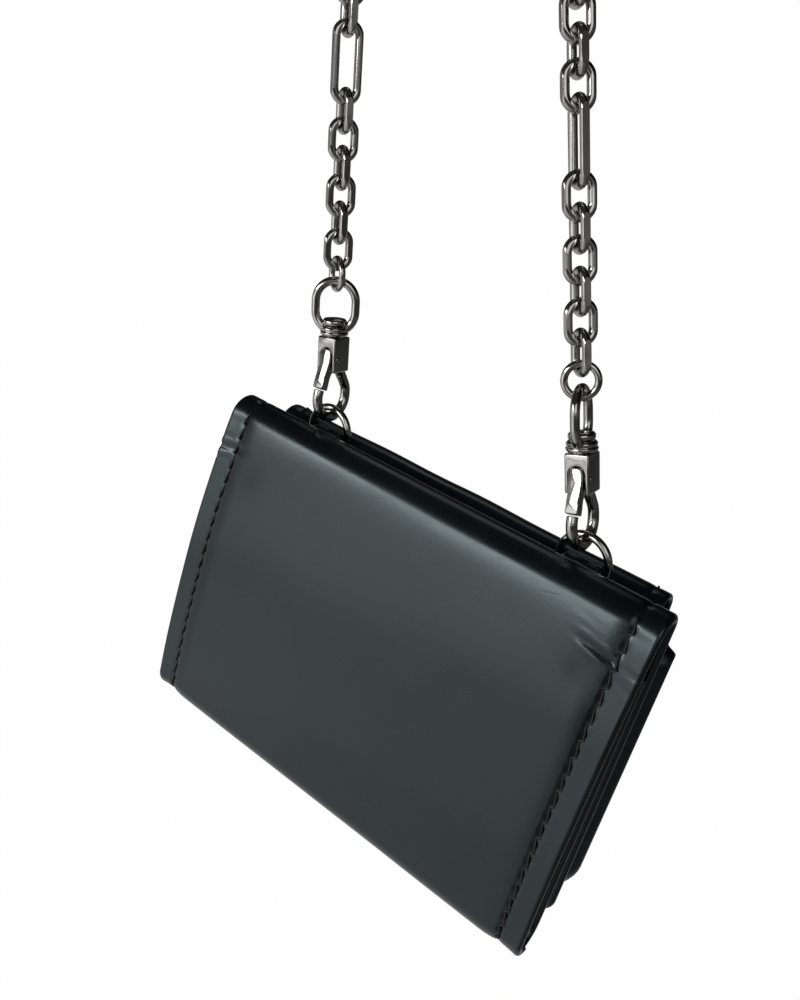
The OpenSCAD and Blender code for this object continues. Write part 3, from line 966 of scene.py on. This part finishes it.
def sweep(name, track, at, material, closed=False, sides=20, plane="yz"):
    # Sweeps an oval section along a flat track of (first, second, half across, half in plane)
    mesh = bmesh.new()
    loops = []
    count = len(track)
    for i, point in enumerate(track):
        before = track[(i - 1) % count] if closed else track[max(i - 1, 0)]
        after = track[(i + 1) % count] if closed else track[min(i + 1, count - 1)]
        run = Vector((after[0] - before[0], after[1] - before[1])).normalized()
        normal = Vector((run.y, -run.x))
        ring = []
        for k in range(sides):
            a = tau * k / sides
            across, off = cos(a) * point[2], sin(a) * point[3]
            first, second = point[0] + normal.x * off, point[1] + normal.y * off
            spot = at(across, first, second) if plane == "yz" else at(first, across, second)
            ring.append(mesh.verts.new(spot))
        loops.append(ring)
    skinTube(mesh, loops, closed)
    bmesh.ops.recalc_face_normals(mesh, faces=mesh.faces)
    return finishMesh(name, mesh, material)


def applyModifiers(piece):
    bpy.context.view_layer.update()
    graph = bpy.context.evaluated_depsgraph_get()
    data = bpy.data.meshes.new_from_object(piece.evaluated_get(graph))
    piece.modifiers.clear()
    piece.data = data


def bevelPiece(piece, width, segments=3, angle=32):
    bevel = piece.modifiers.new("bevel", "BEVEL")
    bevel.width = width * mm
    bevel.segments = segments
    bevel.limit_method = "ANGLE"
    bevel.angle_limit = radians(angle)
    bevel.harden_normals = False
    applyModifiers(piece)
    piece.data.polygons.foreach_set("use_smooth", [True] * len(piece.data.polygons))
    piece.data.set_sharp_from_angle(angle=radians(38))


def prism(name, outline, halfWidth, at, material, plane="yz"):
    # A flat outline drawn across by its half width
    mesh = bmesh.new()
    layers = []
    for across in (-halfWidth, halfWidth):
        layers.append([mesh.verts.new(at(across, a, b) if plane == "yz" else at(a, across, b))
                       for a, b in outline])
    mesh.faces.new(layers[0][::-1])
    mesh.faces.new(layers[1])
    for k in range(len(outline)):
        i = (k + 1) % len(outline)
        mesh.faces.new((layers[0][k], layers[0][i], layers[1][i], layers[1][k]))
    bmesh.ops.recalc_face_normals(mesh, faces=mesh.faces)
    return finishMesh(name, mesh, material)


def cutOut(piece, cutter):
    cut = piece.modifiers.new("cut", "BOOLEAN")
    cut.object = cutter
    cut.operation = "DIFFERENCE"
    cut.solver = "EXACT"
    applyModifiers(piece)
    bpy.data.objects.remove(cutter)


def joinPieces(name, pieces):
    mesh = bmesh.new()
    for piece in pieces:
        mesh.from_mesh(piece.data)
    joined = finishMesh(name, mesh, pieces[0].data.materials[0])
    for piece in pieces:
        bpy.data.objects.remove(piece)
    return joined


def makeHook(tag):
    at, up, side = claspFrame(tag)
    centre, radius, wire = clasp["hookCentre"], clasp["hookRadius"], clasp["wire"] / 2
    base, head = clasp["hookBase"], clasp["head"] / 2
    knots = []
    for turn in range(154, 361, 20):
        a = radians(turn)
        knots.append((radius * cos(a), centre + radius * sin(a), wire, wire))
    knots += [
        (radius - 0.1, centre + 1.6, wire, wire),
        (radius - 1.0, centre + 3.4, wire * 1.04, wire),
        (radius - 2.2, base - 0.7, wire * 1.1, wire * 1.05),
        (radius - 3.2, base + 1.0, wire * 1.1, wire * 1.1),
    ]
    arm = sweep("arm", smoothTrack(knots, 6), at, nickel)
    bevelPiece(arm, 0.22, 2, 60)
    top = base + clasp["headHeight"]
    block = prism("block", [(-head, base), (head, base), (head, top), (-head, top)], head, at, nickel)
    slotHalf, springing = clasp["gate"] / 2 + clasp["slotGap"], base + clasp["slotRise"]
    arch = [(-slotHalf, base - 1), (slotHalf, base - 1), (slotHalf, springing)]
    for turn in range(15, 166, 15):
        a = radians(turn)
        arch.append((slotHalf * cos(a), springing + slotHalf * sin(a)))
    arch.append((-slotHalf, springing))

    def throughFront(x, y, z):
        return at(x, -head - 2.4 + (y + 1) * (head + 3.0) / 2, z)

    cutOut(block, prism("cutter", arch, 1, throughFront, nickel, "xz"))
    bevelPiece(block, 0.38, 3, 40)
    hook = joinPieces("snapHook_" + tag, [block, arm])
    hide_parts("hook_" + tag)
    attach(hook, tag + "_hook")

    rise, pinY = base + clasp["pinRise"], clasp["pinY"]
    slope, gap = radians(27), 0.2
    foot = [(-r * cos(slope) + gap * sin(slope), centre + r * sin(slope) + gap * cos(slope))
            for r in (radius + wire, radius - wire)]
    outline = [(-2.5, base + 5.2), (-3.1, base + 2.4), (-4.5, base - 1.2), *foot, (-2.3, base - 1.2),
               (-0.5, base + 1.6), (-0.1, base + 3.2), (-0.9, base + 4.5), (-1.9, base + 5.2)]
    lever = prism("snapGate_" + tag, outline, clasp["gate"] / 2, at, nickel)
    bevelPiece(lever, 0.4, 2, 20)
    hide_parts("gate_" + tag)
    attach(lever, tag + "_gate")

    tip, pinRadius = 0.35, 0.62
    pin = lathe("gatePin_" + tag, [
        (tip, -head - 0.16), (pinRadius, -head - 0.02), (pinRadius, head + 0.02), (tip, head + 0.16)],
        at(0, pinY, rise), side, studSteel, 20)
    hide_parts("gate_pin_" + tag)
    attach(pin, tag + "_hook")

    collarTop = clasp["collarBase"] + clasp["collarHeight"]
    r, shank = clasp["rivetRadius"], clasp["shank"]
    rivet = lathe("swivelRivet_" + tag, [
        (shank, top - 2.8), (shank, collarTop + 0.2), (r - 0.3, collarTop + 0.2), (r, collarTop + 0.5),
        (r, collarTop + 1.2), (r - 0.35, collarTop + 1.6), (r - 1.2, collarTop + 1.75),
        (0, collarTop + 1.8)],
        at(0, 0, 0), up, nickel)
    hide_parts("rivet_" + tag)
    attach(rivet, tag + "_hook")


def makeEye(tag, turn):
    at, up, _ = claspFrame(tag)
    radius, wire = clasp["eyeRadius"], clasp["eyeWire"] / 2
    low = clasp["collarBase"] + radius + wire
    high = low + clasp["eyeSide"]
    a = radians(turn)

    def turned(x, y, z):
        return at(x * cos(a) - y * sin(a), x * sin(a) + y * cos(a), z)

    track = []
    for i in range(33):
        b = pi * i / 32
        track.append((radius * cos(b), high + radius * sin(b), wire, wire))
    for i in range(33):
        b = pi + pi * i / 32
        foot = max(0, -sin(b)) ** 4
        track.append((radius * cos(b), low + radius * sin(b),
                      wire * (1 + 0.5 * foot), wire * (1 + 0.1 * foot)))
    ring = sweep("ring", track, turned, nickel, closed=True, plane="xz")
    base, r, bore = clasp["collarBase"], clasp["collarRadius"], 1.45
    top = base + clasp["collarHeight"]
    collar = lathe("collar", [
        (bore, base + 0.05), (r - 0.5, base), (r - 0.1, base + 0.3), (r, base + 0.7),
        (r - 0.1, base + 1.0), (r - 0.45, base + 1.15), (r - 0.15, base + 1.35),
        (r - 0.1, top - 0.45), (r - 0.5, top), (bore, top)],
        at(0, 0, 0), up, nickel)
    eye = joinPieces("swivelEye_" + tag, [ring, collar])
    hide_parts("eye_" + tag)
    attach(eye, "eyes")


for tag, turn in (("left", 30), ("right", 100)):
    makeHook(tag)
    makeEye(tag, turn)
print("hooks made")

for name, node in frame["nodes"].items():
    if node.hide_render:
        continue
    isSteel = name.startswith(("snap_", "gate_spring"))
    node.data.materials.clear()
    node.data.materials.append(studSteel if isSteel else nickel)
print("chain polished")


studio = {
    "floor": -0.6,
    "floorHalf": 9,
    "floorGlow": (0.5, 0.03),  # on the left and on the right, where the room is darker
    "skyFade": (0.02, 0.36),
    "skyLow": 0.6,
    "skyHigh": 0.035,
    "rightShade": 0.35,
    "rearShade": 0.2,
}


def makeFloor():
    mesh = bmesh.new()
    half = studio["floorHalf"]
    corners = [(-half, -half), (half, -half), (half, half), (-half, half)]
    mesh.faces.new([mesh.verts.new((x, y, studio["floor"])) for x, y in corners])
    material, tree, shader = newMaterial("paleFloor")
    where = addNode(tree, "ShaderNodeTexCoord").outputs["Object"]
    field = noiseField(tree, where, 2, 2)
    tree.links.new(mixedColor(tree, field, (0.34, 0.34, 0.34), (0.38, 0.38, 0.38)),
                   shader.inputs["Base Color"])
    shader.inputs["Roughness"].default_value = 0.9
    shader.inputs["Specular IOR Level"].default_value = 0.1
    shader.inputs["Emission Color"].default_value = (1, 1, 1, 1)
    apart = addNode(tree, "ShaderNodeSeparateXYZ")
    tree.links.new(where, apart.inputs[0])
    glow = mapped(tree, apart.outputs["X"], -0.05, 0.25, *studio["floorGlow"])
    tree.links.new(glow, shader.inputs["Emission Strength"])
    white = addNode(tree, "ShaderNodeEmission")
    white.inputs["Strength"].default_value = 1.0
    seen = addNode(tree, "ShaderNodeLightPath").outputs["Is Camera Ray"]
    mix = addNode(tree, "ShaderNodeMixShader")
    tree.links.new(scaled(tree, seen, 0.985), mix.inputs[0])
    tree.links.new(shader.outputs[0], mix.inputs[1])
    tree.links.new(white.outputs[0], mix.inputs[2])
    tree.links.new(mix.outputs[0], tree.nodes["Material Output"].inputs["Surface"])
    finishMesh("floor", mesh, material)


def makeWorld():
    world = bpy.data.worlds.new("studio")
    bpy.context.scene.world = world
    world.use_nodes = True
    tree = world.node_tree
    tree.nodes.clear()
    where = addNode(tree, "ShaderNodeTexCoord").outputs["Generated"]
    apart = addNode(tree, "ShaderNodeSeparateXYZ")
    tree.links.new(where, apart.inputs[0])
    fade = mapped(tree, apart.outputs["Z"], *studio["skyFade"], studio["skyLow"], studio["skyHigh"])
    sky = addNode(tree, "ShaderNodeBackground")
    sky.inputs["Color"].default_value = (1, 1, 1, 1)
    right = mapped(tree, apart.outputs["X"], 0.15, 0.8, 1, studio["rightShade"])
    rear = mapped(tree, apart.outputs["Y"], -0.1, 0.5, 1, studio["rearShade"])
    shade = combined(tree, right, rear, "MULTIPLY")
    tree.links.new(combined(tree, fade, shade, "MULTIPLY"), sky.inputs["Strength"])
    plain = addNode(tree, "ShaderNodeBackground")
    plain.inputs["Color"].default_value = (1, 1, 1, 1)
    seen = addNode(tree, "ShaderNodeLightPath").outputs["Is Camera Ray"]
    mix = addNode(tree, "ShaderNodeMixShader")
    tree.links.new(seen, mix.inputs[0])
    tree.links.new(sky.outputs[0], mix.inputs[1])
    tree.links.new(plain.outputs[0], mix.inputs[2])
    out = addNode(tree, "ShaderNodeOutputWorld")
    tree.links.new(mix.outputs[0], out.inputs[0])


def addLight(name, azimuth, elevation, distance, width, height, power, roll=0):
    # Azimuth 0 is straight in front of the wallet, and it grows towards the camera's side
    a, e = radians(azimuth), radians(elevation)
    away = Vector((sin(a) * cos(e), -cos(a) * cos(e), sin(e)))
    data = bpy.data.lights.new(name, "AREA")
    data.shape = "RECTANGLE"
    data.size = width
    data.size_y = height
    data.energy = power
    lamp = bpy.data.objects.new(name, data)
    target = place(0, -10, -30)
    turn = away.to_track_quat("Z", "Y").to_matrix().to_4x4() @ Matrix.Rotation(radians(roll), 4, "Z")
    lamp.matrix_world = Matrix.Translation(target + away * distance) @ turn
    bpy.context.scene.collection.objects.link(lamp)


makeFloor()
makeWorld()
addLight("windowLight", -21, 22, 1.1, 0.80, 0.24, 4.2, -15)
addLight("middleLight", -24, 3, 1.1, 0.80, 0.36, 0.85, -9)
addLight("lowerLight", -27, -18, 1.1, 0.80, 0.36, 0.42, -9)
addLight("roomLight", 46, 24, 1.3, 1.0, 0.7, 2.2)
addLight("rearLight", 200, 55, 1.3, 0.5, 0.4, 0.4)
bpy.context.scene.view_settings.view_transform = "Standard"
print("light set")
